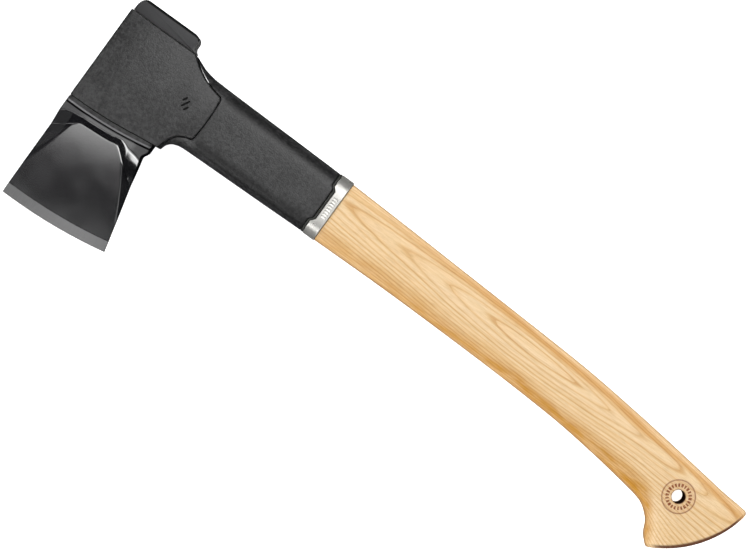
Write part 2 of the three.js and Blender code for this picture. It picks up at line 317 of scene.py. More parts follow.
class Nodes:
    """Short calls for the nodes of one material. Any value can be a number or a socket."""

    def __init__(self, owner):
        self.tree = owner.node_tree
        self.place = self.add("ShaderNodeTexCoord").outputs["Object"]

    def add(self, kind, **settings):
        node = self.tree.nodes.new(kind)
        for key, value in settings.items():
            setattr(node, key, value)
        return node

    def link(self, value, socket):
        if isinstance(value, bpy.types.NodeSocket):
            self.tree.links.new(value, socket)
        else:
            socket.default_value = value

    def add_linked(self, kind, value):
        node = self.add(kind)
        self.link(value, node.inputs[0])
        return node

    def math(self, operation, *values):
        """One operation, from the first value to the last if there are more than two."""
        result = values[0]
        for other in values[1:] or (0.0,):
            node = self.add("ShaderNodeMath", operation=operation)
            self.link(result, node.inputs[0])
            self.link(other, node.inputs[1])
            result = node.outputs[0]
        return result

    def total(self, *values):
        return self.math("ADD", *values)

    def product(self, *values):
        return self.math("MULTIPLY", *values)

    def largest(self, *values):
        return self.math("MAXIMUM", *values)

    def minus(self, a, b):
        return self.math("SUBTRACT", a, b)

    def apart(self, a, b):
        """The distance between two values."""
        return self.math("ABSOLUTE", self.minus(a, b))

    def past(self, value, start):
        """How far a value is past a start, and 0 before it."""
        return self.largest(self.minus(value, start), 0.0)

    def vector(self, operation, a, b=(0, 0, 0)):
        node = self.add("ShaderNodeVectorMath", operation=operation)
        self.link(a, node.inputs[0])
        self.link(b, node.inputs[1])
        return node.outputs["Value" if operation == "LENGTH" else "Vector"]

    def split(self, vector):
        return self.add_linked("ShaderNodeSeparateXYZ", vector).outputs

    def join(self, x, y, z=0.0):
        node = self.add("ShaderNodeCombineXYZ")
        for value, socket in zip((x, y, z), node.inputs):
            self.link(value, socket)
        return node.outputs[0]

    def place_mm(self):
        """X, Y and Z in millimetres."""
        return self.split(self.vector("MULTIPLY", self.place, (1 / MM, 1 / MM, 1 / MM)))

    def around(self, x, y, centre):
        """The distance and the angle of a place around a centre."""
        dx, dy = self.minus(x, centre[0]), self.minus(y, centre[1])
        return self.vector("LENGTH", self.join(dx, dy)), self.math("ARCTAN2", dy, dx)

    def noise(self, where, scale, detail=2.0, roughness=0.5):
        """Noise with a size in repeats per metre, along each axis if scale is a tuple."""
        if isinstance(scale, tuple):
            where, scale = self.vector("MULTIPLY", where, scale), 1.0
        node = self.add("ShaderNodeTexNoise")
        self.link(where, node.inputs["Vector"])
        node.inputs["Scale"].default_value = scale
        node.inputs["Detail"].default_value = detail
        node.inputs["Roughness"].default_value = roughness
        return node.outputs[0]

    def between(self, value, start, end, out_start=0.0, out_end=1.0):
        """Maps start..end to out_start..out_end smoothly, and holds the ends."""
        node = self.add("ShaderNodeMapRange", interpolation_type="SMOOTHSTEP")
        for item, socket in zip((value, start, end, out_start, out_end), node.inputs):
            self.link(item, socket)
        return node.outputs[0]

    def ramp(self, value, stops):
        node = self.add_linked("ShaderNodeValToRGB", value)
        band = node.color_ramp
        while len(band.elements) < len(stops):
            band.elements.new(0.5)
        for element, (position, colour) in zip(band.elements, stops):
            element.position = position
            element.color = (*colour, 1)
        return node.outputs[0]

    def mix(self, factor, a, b, blend="MIX"):
        node = self.add("ShaderNodeMix", data_type="RGBA", blend_type=blend)
        self.link(factor, node.inputs["Factor"])
        for value, name in ((a, "A_Color"), (b, "B_Color")):
            socket = next(s for s in node.inputs if s.identifier == name)
            self.link(value if isinstance(value, bpy.types.NodeSocket) else (*value, 1), socket)
        return next(s for s in node.outputs if s.identifier == "Result_Color")

    def bump(self, height, strength, depth):
        """A bump whose depth is in millimetres."""
        node = self.add("ShaderNodeBump")
        node.inputs["Strength"].default_value = strength
        node.inputs["Distance"].default_value = depth * MM
        self.link(height, node.inputs["Height"])
        return node.outputs[0]


# In the masks below, places are in millimetres, and a mask goes from 0 to 1 from its start to
# its end. off_level is the distance from the plane of symmetry.

def painted_housing_shade(n, x, y, off_level, radius, on_head):
    """The dark places of the housing, painted shade: the lip's groove, the cheek's wall and the sunk
    mark.
    """
    groove = n.product(n.between(radius, LIP_RADIUS - 0.8, LIP_RADIUS - 0.5), on_head,
                       n.between(y, -30, -32), n.between(off_level, 12, 13.5))
    border = n.largest(n.between(y, -26.5, -27.5), n.between(x, -30.3, -30.6))
    wall = n.product(n.between(off_level, LIP_HALF + 0.05, LIP_HALF + 0.2),
                     n.between(off_level, 17.9, 17.6), border)
    mark = n.product(n.between(n.apart(x, MARK_X), 7, 6.5), n.between(n.apart(y, 0), 8, 7.5),
                     n.between(off_level, 17.4, 17.9, 0.85, 0.0))
    return n.largest(mark, groove, wall)


def painted_sleeve_shade(n, x, y, off_level):
    """Painted shade: the darker bands along the sleeve's rounded sides, where they turn from the
    light, and on its last bit before the gasket.
    """
    upper = n.product(n.between(y, 12.5, 16.5, 0.0, 0.55), n.between(y, 22.2, 21.2))
    under = n.product(n.between(y, -11.5, -16, 0.0, 0.75), n.between(y, -20.5, -19))
    bands = n.product(n.total(upper, under), n.between(x, 46, 52),
                      n.between(off_level, 12, 14.5))
    tongue_reach = n.between(n.apart(y, 0), TONGUE_INNER, TONGUE_OUTER, TONGUE_RISE, 0.0)
    brim = n.between(n.minus(x, tongue_reach), SLEEVE_END - 1.6, SLEEVE_END - 0.3, 0.0, 0.85)
    return n.largest(bands, brim)


def composite_material():
    """Matte black fibre-filled moulding, with a fine spark texture."""
    material, shader = new_material("moulded_composite", roughness=0.4)
    shader.inputs["IOR"].default_value = 1.5
    n = Nodes(material)
    x, y, z = n.place_mm()
    off_level = n.apart(z, MID)
    radius, _ = n.around(x, y, SWEEP)
    grain = n.noise(n.place, 1300, detail=2)
    speckle = n.noise(n.place, 480, detail=3)
    cloud = n.noise(n.place, 60, detail=3)
    tone = n.total(n.product(grain, 0.4), n.product(speckle, 0.4), n.product(cloud, 0.2))
    colour = n.ramp(tone, [(0.4, (0.009, 0.009, 0.0092)), (0.6, (0.038, 0.038, 0.0385))])
    on_head = n.between(x, 31, 29)
    off_edge = n.apart(radius, LIP_RADIUS - 1.3)
    # Painted highlight: a lighter line on the lip's rounded lower edge, where it catches the light.
    painted_lip_highlight = n.product(n.between(off_edge, 0.3, 0.8, 0.9, 0.0), on_head)
    recess_shade = painted_housing_shade(n, x, y, off_level, radius, on_head)
    flank_shade = painted_sleeve_shade(n, x, y, off_level)
    colour = n.mix(painted_lip_highlight, colour, (0.13, 0.13, 0.135))
    # Painted shade: the lip's groove, the cheek's wall and the sunk mark are painted near black.
    colour = n.mix(recess_shade, colour, (0.001, 0.001, 0.001))
    # Painted shade: darker bands on the sleeve's rounded sides and at its end before the gasket.
    colour = n.mix(flank_shade, colour, (0.006, 0.006, 0.0061))
    n.link(colour, shader.inputs["Base Color"])
    level = n.minus(n.between(recess_shade, 0.0, 1.0, 0.52, 0.08), n.product(flank_shade, 0.34))
    n.link(level, shader.inputs["Specular IOR Level"])
    n.link(n.between(speckle, 0.3, 0.7, 0.28, 0.37), shader.inputs["Roughness"])
    n.link(n.bump(n.total(grain, speckle), 0.8, 0.2), shader.inputs["Normal"])
    return material


def steel_material():
    """Black coated steel, glossy below the housing, blasted above it, with a ground bevel."""
    material, shader = new_material("coated_steel", roughness=0.25)
    shader.inputs["IOR"].default_value = 2.3
    n = Nodes(material)
    x, y, z = n.place_mm()
    off_level = n.apart(z, MID)
    radius, angle = n.around(x, y, SWEEP)
    on_bevel = n.between(radius, BEVEL_RADIUS - 0.15, BEVEL_RADIUS + 0.15)
    on_poll = n.between(y, 0, 1)
    along_edge = n.join(n.product(angle, EDGE_RADIUS * MM), n.product(radius, MM))
    scratch = n.noise(along_edge, (5200, 90, 1), detail=3, roughness=0.6)
    cloud = n.noise(n.place, 60, detail=3)
    pits = n.noise(n.place, 1500, detail=2)

    # Painted light: a lighter tint on the poll's side that faces the neck, as if lit from there.
    neck_side_light = n.product(n.between(x, 13, 14), on_poll)
    below_eye = n.between(off_level, EYE_HALF - 0.4, EYE_HALF - 0.8)
    # Painted reflection: on the toe's facet a dull, lighter tint stands in for its soft reflection,
    # whose glints are turned down.
    toe_facet = n.product(n.between(x, -22.5, -24), below_eye, n.between(y, -72, -58))
    plateau_ends = n.product(n.largest(n.between(x, -12, -22), n.between(x, 17, 22)),
                             n.between(off_level, EYE_HALF - 0.5, EYE_HALF - 0.1),
                             n.between(y, 0, -1))
    # Painted shade: a near-black line along the poll's top edges, where they turn from the light.
    struck_edge_shade = n.product(n.largest(n.between(y, 37.1, 37.6),
                                      n.between(n.total(x, y), 49.4, 49.9)),
                            n.between(off_level, 13.8, 14.3))
    # Painted shadow: a dark band on the steel in the gap below the housing's lip.
    seam_shadow = n.product(n.between(radius, LIP_RADIUS + 0.7, LIP_RADIUS + 0.25),
                     n.between(y, -30, -32), n.between(off_level, 12, 13.5))
    across_corner = n.minus(n.product(y, 0.62), n.product(x, 0.785))
    face_corner = n.product(n.between(across_corner, -17.1, -16.2), below_eye,
                            n.minus(1.0, toe_facet))

    coat = n.ramp(cloud, [(0.3, (0.005, 0.005, 0.006)), (0.7, (0.008, 0.008, 0.0092))])
    coat = n.mix(on_poll, coat, (0.021, 0.021, 0.0225))
    coat = n.mix(neck_side_light, coat, (0.055, 0.055, 0.055))
    coat = n.mix(toe_facet, coat, (0.02, 0.02, 0.0212))
    coat = n.mix(n.largest(struck_edge_shade, seam_shadow), coat, (0.002, 0.002, 0.002))
    bare = n.ramp(scratch, [(0.3, (0.018, 0.018, 0.019)), (0.7, (0.05, 0.05, 0.052))])
    n.link(n.mix(on_bevel, coat, bare), shader.inputs["Base Color"])

    smooth_coat = n.between(cloud, 0.3, 0.7, 0.145, 0.18)
    ground_steel = n.between(scratch, 0.3, 0.7, 0.3, 0.42)
    rough = n.total(smooth_coat, n.product(on_bevel, n.minus(ground_steel, smooth_coat)),
                    n.product(on_poll, 0.27))
    n.link(rough, shader.inputs["Roughness"])

    bevel_dull = n.product(on_bevel, n.between(x, -30, 30, 0.29, 0.11))
    dull = [n.product(mask, share) for mask, share in (
        (on_poll, 0.37), (struck_edge_shade, 0.11), (toe_facet, 0.4), (face_corner, 0.4),
        (plateau_ends, 0.24), (seam_shadow, 0.42),
    )]
    level = n.minus(0.5, n.total(bevel_dull, *dull))
    n.link(level, shader.inputs["Specular IOR Level"])
    height = n.total(n.product(pits, 0.04), n.product(scratch, on_bevel))
    n.link(n.bump(height, 0.12, 0.08), shader.inputs["Normal"])
    return material


def collar_material():
    """Satin metal, brushed round the handle."""
    material, shader = new_material("satin_collar", metallic=0.78, roughness=0.3)
    n = Nodes(material)
    lines = n.noise(n.place, (6500, 60, 60), detail=3, roughness=0.6)
    cloud = n.noise(n.place, 180, detail=2)
    colour = n.ramp(lines, [(0.25, (0.54, 0.53, 0.50)), (0.75, (0.67, 0.66, 0.628))])
    n.link(colour, shader.inputs["Base Color"])
    n.link(n.between(cloud, 0.3, 0.7, 0.27, 0.38), shader.inputs["Roughness"])
    n.link(n.bump(lines, 0.15, 0.06), shader.inputs["Normal"])
    return material


def cloudy_material(name, roughness, scale, dark, light, bump):
    """A plain material whose colour and surface vary with one noise."""
    material, shader = new_material(name, roughness=roughness)
    n = Nodes(material)
    cloud = n.noise(n.place, scale, detail=3)
    n.link(n.ramp(cloud, [(0.3, dark), (0.7, light)]), shader.inputs["Base Color"])
    n.link(n.bump(cloud, *bump), shader.inputs["Normal"])
    return material


def rubber_material():
    dark, light = (0.02, 0.021, 0.018), (0.04, 0.042, 0.035)
    return cloudy_material("gasket_rubber", 0.7, 900, dark, light, bump=(0.3, 0.1))


def adhesive_material():
    dark, light = (0.5, 0.4, 0.24), (0.66, 0.55, 0.36)
    return cloudy_material("cured_adhesive", 0.45, 300, dark, light, bump=(0.2, 0.2))


RING_PITCH = 2.0  # between two growth rings
RING_SHIFT = -1.1  # moves the rings along, in rings
PITH_HEIGHT = 35.6  # of the pith, which lies outside the handle, above its upper face
PITH_TURN = 297.0  # x where the pith comes nearest


def growth_rings(n, x, y, z):
    """Counts the growth rings outwards. They are shells around a curved pith.

    A power below 2, a circle's, gives the rings' arches their pointed tips.
    """
    wander = n.noise(n.place, (9, 50, 50), detail=2)
    ripple = n.noise(n.place, (45, 420, 420), detail=2)
    along = n.minus(x, PITH_TURN)
    dip = n.math("SQRT", n.total(n.product(along, along), 50 ** 2))
    pith_y = n.total(n.product(x, -0.041), 15.6)
    pith_z = n.total(n.product(dip, 0.1), PITH_HEIGHT, n.product(n.past(x, 380), -0.03))
    power = n.between(x, 220, 380, 1.75, 1.4)
    fanned_y = n.product(y, n.total(n.product(n.past(x, 385), -0.0045), 1.0))
    side = n.math("POWER", n.apart(fanned_y, pith_y), power)
    rise = n.math("POWER", n.apart(z, pith_z), power)
    distance = n.math("POWER", n.total(side, rise), n.math("DIVIDE", 1.0, power))
    return n.total(n.math("DIVIDE", distance, RING_PITCH), RING_SHIFT, n.product(wander, 0.9),
                   n.product(ripple, 0.2))


def border_tint_masks(n, x, y, off_level):
    """A darker streak below the handle's upper border, and a mottled band on its lower side."""
    sway = n.minus(n.noise(n.place, (14, 60, 60), detail=2), 0.5)
    back = n.minus(x, 170)
    border = n.total(n.product(back, back, -0.00019), n.product(back, -0.02), 19.6)
    below = n.total(n.minus(border, y), n.product(sway, 6))
    streak = n.product(n.between(n.apart(below, 3.6), 0.3, 3.4, 0.75, 0.0),
                       n.between(x, 150, 270, 0.25, 1.0))
    bow = n.product(n.math("POWER", n.past(x, 190), 3.0), 1.35e-6)
    beak = n.product(n.math("POWER", n.math("DIVIDE", n.past(x, 399), 22), 1.6), 21)
    above = n.total(y, 20.9, bow, beak, n.product(sway, 12))
    mottle = n.noise(n.place, (60, 260, 260), detail=3)
    band = n.product(n.between(above, 13, 3), n.between(mottle, 0.3, 0.65, 0.6, 1.0),
                     n.between(x, 140, 300, 0.55, 1.0), n.between(off_level, 1, 10, 0.4, 1.0))
    return streak, band


def brand_grain_shade_masks(n, x, y, off_level):
    """The branded ring of ticks round the hole, painted shade on the hole's wall, and the rim of the
    knob: darker end grain with painted shade on its rounding.
    """
    radius, angle = n.around(x, y, HOLE)
    turn = n.product(angle, TICKS / math.tau)
    which = n.noise(n.join(n.math("FLOOR", turn), 0.0), 1.37, detail=0)
    off_tick = n.apart(n.math("FRACT", turn), 0.5)
    off_tick = n.minus(off_tick, n.between(which, 0.3, 0.7, 0.18, 0.33))
    tick = n.product(n.between(off_tick, 0.07, 0.0),
                     n.between(n.apart(radius, TICK_RADIUS), 1.3, 0.9))
    circle = n.between(n.apart(radius, CIRCLE_RADIUS), 0.2, 0.7, 0.75, 0.0)
    uneven = n.between(n.noise(n.place, 1500), 0.25, 0.5, 0.6, 1.0)
    brand = n.product(n.largest(tick, circle), n.between(off_level, 2, 6), uneven)
    brand = n.largest(brand, n.between(radius, 9.6, 10.6, 0.12, 0.0))
    # Painted shade in the hole's wall.
    wall = n.between(radius, HOLE_RADIUS + 0.05, HOLE_RADIUS + 0.55, 0.97, 0.0)
    # The knob's rim: darker end grain, and painted shade on its rounding.
    reach, _ = n.around(x, y, END_CENTRE)
    width = n.between(y, -8, -35, 0.6, 1.6)
    inside_rim = n.math("DIVIDE", n.minus(END_RADIUS - 1.0, reach), width)
    rim = n.product(n.between(inside_rim, 0.0, 1.0, 0.95, 0.0), n.between(x, 400, 402),
                    n.between(off_level, 8.5, 12.5, 0.15, 1.0))
    return brand, n.largest(wall, rim)


def hickory_material():
    """Oiled hickory: growth rings, heartwood tone, darker bands along its borders, fine streaks and
    fibres, a burnt brand and darker end grain, with painted shade on its edges, in its hole and on
    the knob's rim.
    """
    material, shader = new_material("hickory", roughness=0.42)
    n = Nodes(material)
    x, y, z = n.place_mm()
    off_level = n.apart(z, MID)
    rings = growth_rings(n, x, y, z)
    phase = n.math("FRACT", rings)
    growth = n.ramp(phase, [
        (0.0, (0.60, 0.335, 0.12)),
        (0.09, (0.63, 0.37, 0.145)),
        (0.26, (0.77, 0.565, 0.315)),
        (0.62, (0.79, 0.59, 0.352)),
        (0.90, (0.75, 0.515, 0.262)),
        (1.0, (0.60, 0.335, 0.12)),
    ])
    strength = n.noise(n.join(n.math("FLOOR", rings), 0.0), 1.7, detail=0)
    heart = n.noise(n.place, (9, 90, 90), detail=3)
    plain = n.ramp(heart, [(0.35, (0.78, 0.545, 0.28)), (0.65, (0.80, 0.605, 0.372))])
    colour = n.mix(n.between(strength, 0.3, 0.7, 0.35, 1.0), plain, growth)

    streak, band = border_tint_masks(n, x, y, off_level)
    brand, end_grain_and_shade = brand_grain_shade_masks(n, x, y, off_level)
    streaks = n.noise(n.place, (35, 900, 900), detail=3, roughness=0.6)
    fibre = n.noise(n.place, (140, 3800, 3800), detail=3, roughness=0.6)
    # Painted shade: the wood is darkened where it turns away from the view.
    facing = n.add("ShaderNodeLayerWeight").outputs["Facing"]
    white = (1.0, 1.0, 1.0)
    for share, stain in (
        (streak, (0.76, 0.50, 0.14)),
        (band, (0.68, 0.42, 0.0)),
        (0.5, n.ramp(streaks, [(0.36, (0.84, 0.74, 0.60)), (0.56, white)])),
        (0.4, n.ramp(fibre, [(0.35, (0.62, 0.55, 0.45)), (0.55, white)])),
        (n.between(facing, 0.4, 0.95, 0.0, 0.9), (0.5, 0.40, 0.28)),
        (brand, (0.32, 0.10, 0.032)),
        (end_grain_and_shade, (0.12, 0.038, 0.012)),
    ):
        colour = n.mix(share, colour, stain, "MULTIPLY")
    n.link(colour, shader.inputs["Base Color"])
    n.link(n.between(fibre, 0.3, 0.7, 0.36, 0.5), shader.inputs["Roughness"])
    height = n.total(n.product(fibre, 0.6), n.product(phase, 0.15), n.product(end_grain_and_shade, -0.7))
    n.link(n.bump(height, 0.25, 0.15), shader.inputs["Normal"])
    return material


# ---- handle

GRIP_START = COLLAR_HIGH[0] + GAP
SEAT_START = 137.0
SEAT_WIDTH, SEAT_HALF = 19.2, 14.4
FAN_START = 345.0  # from here the stations fan out over the knob
END_TOP = 460.7  # x of the knob's upper corner
END_ROUND = 1.8  # rounding of the knob's end

# The upper and lower border, the beak and the half thickness, as (x, size).
UPPER = [(143, 20.8), (185, 19.35), (225, 17.7), (265, 16.1), (325, 13.4), (365, 9.9), (425, 2.9),
         (462, -1.9)]
LOWER = [(143, -21.3), (195, -20.85), (265, -21.7), (325, -23.9), (365, -27.8), (385, -30.6)]
BEAK = [(385, -30.6), (401, -33.6), (411, -40.5), (416.5, -49.5), (421.8, -54.9)]
THICKNESS = [(143, 16.3), (175, 14.8), (215, 13.4), (300, 12.6), (360, 12.9), (400, 14), (461, 14.2)]


def lower_path():
    """The handle's lower border from the start of the fan to the tip of the beak."""
    x = np.linspace(FAN_START, 385, 40)[:-1]
    straight_part = np.column_stack([x, through(LOWER, x)])
    knots = np.array(BEAK, float)
    length = lengths_along(knots)
    t = np.linspace(0, length[-1], 120)
    bent = np.column_stack([through(list(zip(length, side)), t) for side in knots.T])
    return np.vstack([straight_part, bent])


def station(upper, lower, bulge, half, square, trim=0.0, push=0.0, shrink=1.0):
    """One ring of the handle, between a point on its upper and one on its lower border.

    It bends out by bulge in its middle and by push all over. trim takes some off its flat sides.
    """
    upper, lower = np.array(upper, float), np.array(lower, float)
    across = (upper - lower) / 2
    width = np.linalg.norm(across)
    outward = np.array([across[1], -across[0]]) / width
    section = superellipse(square)
    s = section[:, 0] * (1 - 0.25 * trim / width) * shrink
    z = section[:, 1] * (half - trim) * shrink
    bend = bulge * (1 - s * s) + push
    xy = (upper + lower) / 2 + s[:, None] * across + bend[:, None] * outward
    return np.column_stack([xy, MID + z])


def upright(x, trim=0.0):
    half = through(THICKNESS, x)
    square = np.interp(x, [143, 260], [4.0, 2.6])
    return station((x, through(UPPER, x)), (x, through(LOWER, x)), 0, half, square, trim)


def hidden_rings():
    """The tenon, and the seat under the collar and its gasket."""
    tenon = superellipse(TENON_SQUARE) * (TENON_WIDTH, TENON_HALF)
    seat = superellipse(4.0) * (SEAT_WIDTH, SEAT_HALF)
    places = [(HANDLE_START, tenon * 0.93), (HANDLE_START + 1, tenon), (SEAT_START - 0.1, tenon),
              (SEAT_START, seat), (GRIP_START, seat)]
    return [ring_at(x, section) for x, section in places]


def knob_rings():
    """Stations that fan out over the knob, and its rounded end."""
    path = lower_path()
    run = lengths_along(path)
    end_upper = np.array([END_TOP, through(UPPER, END_TOP)])
    chord = np.linalg.norm(end_upper - path[-1])
    sagitta = END_RADIUS - math.sqrt(END_RADIUS ** 2 - (chord / 2) ** 2)
    rings = []
    for share in np.linspace(0, 1, 64):
        x = FAN_START + (END_TOP - FAN_START) * share
        along = run[-1] * share
        low = [np.interp(along, run, side) for side in path.T]
        half = through(THICKNESS, (x + low[0]) / 2)
        bulge = sagitta * smooth(0.35, 1.0, share)
        square = 2.6 + 0.5 * smooth(0.5, 1.0, share)
        last = ((x, through(UPPER, x)), low, bulge, half, square)
        rings.append(station(*last, push=-END_ROUND * smooth(0.8, 1.0, share)))
    for turn in np.linspace(0, math.pi / 2, 6)[1:]:
        trim = END_ROUND * (1 - math.cos(turn))
        rings.append(station(*last, trim=trim, push=END_ROUND * (math.sin(turn) - 1)))
    for shrink in (0.94, 0.8, 0.6, 0.4, 0.2, 0.06):
        rings.append(station(*last, trim=END_ROUND, shrink=shrink))
    return rings


def handle_rings():
    bend = ((0, 0.5), (0.15, 0.15), (0.5, 0))
    shoulder = [upright(GRIP_START + along, trim) for along, trim in bend]
    grip = [upright(x) for x in np.arange(GRIP_START + 2.5, FAN_START, 2.5)]
    return hidden_rings() + shoulder + grip + knob_rings()


def hole_cutter(surface):
    """A pin with a rounded flare at both faces of the knob."""
    flare = [(0.0, HOLE_RADIUS)]
    for rise, grow in ((-1.0, 0), (-0.6, 0.08), (-0.3, 0.28), (-0.08, 0.62), (0.02, 1.0), (3, 5)):
        flare.append((surface + rise, HOLE_RADIUS + grow))
    profile = [(-h, r) for h, r in flare[:0:-1]] + flare
    rings = [raised(circle(radius) + HOLE, MID + height) for height, radius in profile]
    return from_rings("hole_cutter", rings)


def make_handle():
    rings = handle_rings()
    points = np.vstack(rings)
    near_hole = 4.0
    near = np.hypot(*(points[:, :2] - HOLE).T) < near_hole
    surface = (points[near & (points[:, 2] > MID)][:, 2]).mean() - MID
    handle = from_rings("hickory_handle", rings)
    combine(handle, hole_cutter(surface), "DIFFERENCE")
    finish_piece(handle, "handle", hickory_material())


# ---- collar, gasket, sleeve

def bore_section():
    size = (TENON_WIDTH + BORE_CLEARANCE, TENON_HALF + BORE_CLEARANCE)
    return superellipse(TENON_SQUARE) * size


COLLAR_WALL, COLLAR_ROUND = 2.3, 0.35
LOZENGE_PITCH, LOZENGE_SPAN, LOZENGE_DEPTH = 1.9, 7.6, 0.16
LOZENGE_X = COLLAR_HIGH[0] - 3.1


def lozenges(x, outer, half):
    """How deep each point of the collar is sunk for the row of lozenges on its faces."""
    off_middle = np.abs((outer[:, 0] / LOZENGE_PITCH) % 1 - 0.5) * LOZENGE_PITCH
    depth = smooth(0.62, 0.42, off_middle)
    depth *= smooth(LOZENGE_SPAN + 0.2, LOZENGE_SPAN, np.abs(outer[:, 0]))
    depth *= smooth(1.6, 1.3, np.abs(x - LOZENGE_X))
    return LOZENGE_DEPTH * depth * (np.abs(outer[:, 1]) > half * 0.8)


def make_collar():
    width, half = COLLAR_HIGH[1], (COLLAR_HIGH[2] - COLLAR_LOW[2]) / 2
    start, end = COLLAR_LOW[0], COLLAR_HIGH[0]
    base = superellipse(4.0, 480)

    def section(trim):
        return base * (width - trim, half - trim)

    bend = [(COLLAR_ROUND * (1 - math.cos(turn)), COLLAR_ROUND * (1 - math.sin(turn)))
            for turn in np.linspace(0, math.pi / 2, 4)]
    rings = [ring_at(start + along, section(trim), 1.0) for along, trim in bend]
    outer = section(0)
    x_front = start + COLLAR_ROUND + tongue(outer[:, 0])
    for share in np.linspace(0, 1, 30)[1:-1]:
        x = x_front + (end - COLLAR_ROUND - x_front) * share
        shrunk = outer * (1 - lozenges(x, outer, half) / half)[:, None]
        rings.append(np.column_stack([x, shrunk + (0, MID)]))
    rings += [ring_at(end - along, section(trim)) for along, trim in bend[::-1]]
    rings.append(ring_at(end, section(COLLAR_WALL)))
    rings.append(ring_at(start, section(COLLAR_WALL), 1.0))
    collar = from_rings("metal_collar", rings, tube=True)
    finish_piece(collar, "collar", collar_material(), angle=50)


def make_gasket():
    width, half = GASKET_HIGH[1], (GASKET_HIGH[2] - GASKET_LOW[2]) / 2
    start = GASKET_LOW[0]
    end = GASKET_HIGH[0] - TONGUE_RISE
    base = superellipse(4.2)
    rings = []
    for share in np.linspace(0, 1, 9):
        bead = 0.35 * (2 * share - 1) ** 4 + 0.15
        rings.append(ring_at(start + (end - start) * share, base * (width - bead, half - bead), 1.0))
    rings.append(ring_at(end, bore_section(), 1.0))
    rings.append(ring_at(start, bore_section(), 1.0))
    gasket = from_rings("rubber_gasket", rings, tube=True)
    finish_piece(gasket, "collar_gasket", rubber_material(), angle=50)


NECK_UPPER = [(15, 30), (22, 26.9), (28, 24.7), (37, 23.3), (60, 22.7), (100, 22), (134, 21.3)]
NECK_LOWER = [(32, -32), (34.5, -26.8), (38, -24.4), (43, -23.2), (60, -22.8), (100, -22.1),
              (134, -21.4)]
SLEEVE_ROUND = 0.5


def neck_section(x, trim=0.0):
    high, low = through(NECK_UPPER, x), through(NECK_LOWER, x)
    half = np.interp(x, [20, 134], [17.2, 16.5])
    size = ((high - low) / 2 - trim, half - trim)
    return superellipse(4.5) * size + ((high + low) / 2, 0)


def make_sleeve(material):
    end = SLEEVE_END
    rings = []
    for x in np.concatenate([np.arange(SLEEVE_START, 45, 1.0), np.arange(45, end - 1, 2.0)]):
        rings.append(ring_at(x, neck_section(x), smooth(end - 25, end - 6, x)))
    for turn in np.linspace(0, math.pi / 2, 5):
        trim = SLEEVE_ROUND * (1 - math.cos(turn))
        x = end - SLEEVE_ROUND * (1 - math.sin(turn))
        rings.append(ring_at(x, neck_section(end, trim), 1.0))
    rings.append(ring_at(end, bore_section(), 1.0))
    rings.append(ring_at(SLEEVE_START, bore_section()))
    sleeve = from_rings("neck_sleeve_moulding", rings, tube=True)
    head = plate("sleeve_cutter", cheek_cut_outline(), [(0, 45)])
    spigot = straight("spigot", EYE_RIGHT + GAP, BEYOND_CHEEK, SPIGOT_WIDTH, SPIGOT_HALF)
    combine(head, spigot, "DIFFERENCE")
    combine(sleeve, head, "DIFFERENCE")
    finish_piece(sleeve, "neck_sleeve", material)


# ---- head housing

# The corners of the cheek's curves: x, y, and which way y moves when the border grows.
CHEEK = np.array([
    (32.1, -31.9, 0), (33, -22.5, 0), (37.5, -17.2, -1), (44.3, -15.8, -1), (46.3, -15.4, -1),
    (46.5, -13.5, 0), (48, 0, 0), (46.5, 13, 0), (46.2, 15.8, 1), (44, 16.2, 1), (33, 18, 1),
    (25, 22, 1), (17.2, 28.7, 1),
])


def cheek_curves(grow):
    """The cheek's border from its lower corner at the neck to its upper one."""
    corners = CHEEK[:, :2] + grow * np.column_stack([np.ones(len(CHEEK)), CHEEK[:, 2]])
    stretches = ((0, 3, 24), (3, 5, 6), (5, 7, 16), (7, 9, 6), (9, 12, 24))
    return np.vstack([bezier(corners[a:b + 1], count) for a, b, count in stretches])


MARK_BARS = [((MARK_X - 1.9, 2.6), 4.6), ((MARK_X, 0.3), 8.0), ((MARK_X + 1.9, -2.0), 4.6)]
MARK_TURN = math.radians(62)
MARK_DEPTH = 0.9


def cheek_outline():
    left, top = HOUSING_LOW[0], HOUSING_HIGH[1]
    rim = sweep_arc(RIM_RADIUS, left, 16, 24)
    curves = cheek_curves(0)
    corner = 1.3
    return np.vstack([
        fillet((left, 0), (left, rim[0][1]), rim[1], corner),
        rim[1:],
        fillet((16, rim[-1][1]), curves[0], curves[3], corner),
        curves[4:],
        fillet(curves[-2], (17.2, top), (0, top), corner),
        fillet((0, top), (left, top), (left, 0), corner),
    ])


def cheek_cut_outline():
    """The border of the cheek with a gap, and everything on the head's side of it."""
    curves = cheek_curves(SEAM)
    return np.vstack([[(-60, -70), (32.1 + SEAM, -70)], curves, [(17.2 + SEAM, 70), (-60, 70)]])


def lip_outline():
    left, right = HEAD_LOW[0] + 0.3, 28.2
    rim = sweep_arc(LIP_RADIUS, left, right, 30)
    return np.vstack([[(left, -28)], rim, [(right, rim[-1][1] + 0.2), (right, -28)]])


def mark_cutter():
    """A plain mark of three slanted bars, sunk into each cheek."""
    vertices, faces = [], []
    spin = np.array([[math.cos(MARK_TURN), math.sin(MARK_TURN)],
                     [-math.sin(MARK_TURN), math.cos(MARK_TURN)]])
    for side in (-1, 1):
        for place, length in MARK_BARS:
            bar = superellipse(4.0, 32) * (length / 2, 0.8)
            loops = []
            for depth, share in ((-2, 1.0), (MARK_DEPTH, 0.75)):
                z = MID + side * (HOUSING_HIGH[2] - MID - depth)
                loops.append(range(len(vertices), len(vertices) + len(bar)))
                vertices += raised((bar * share) @ spin + place, z).tolist()
            faces += [tuple(loop) for loop in loops] + strip(*loops)
    return new_object("mark_cutter", vertices, faces)


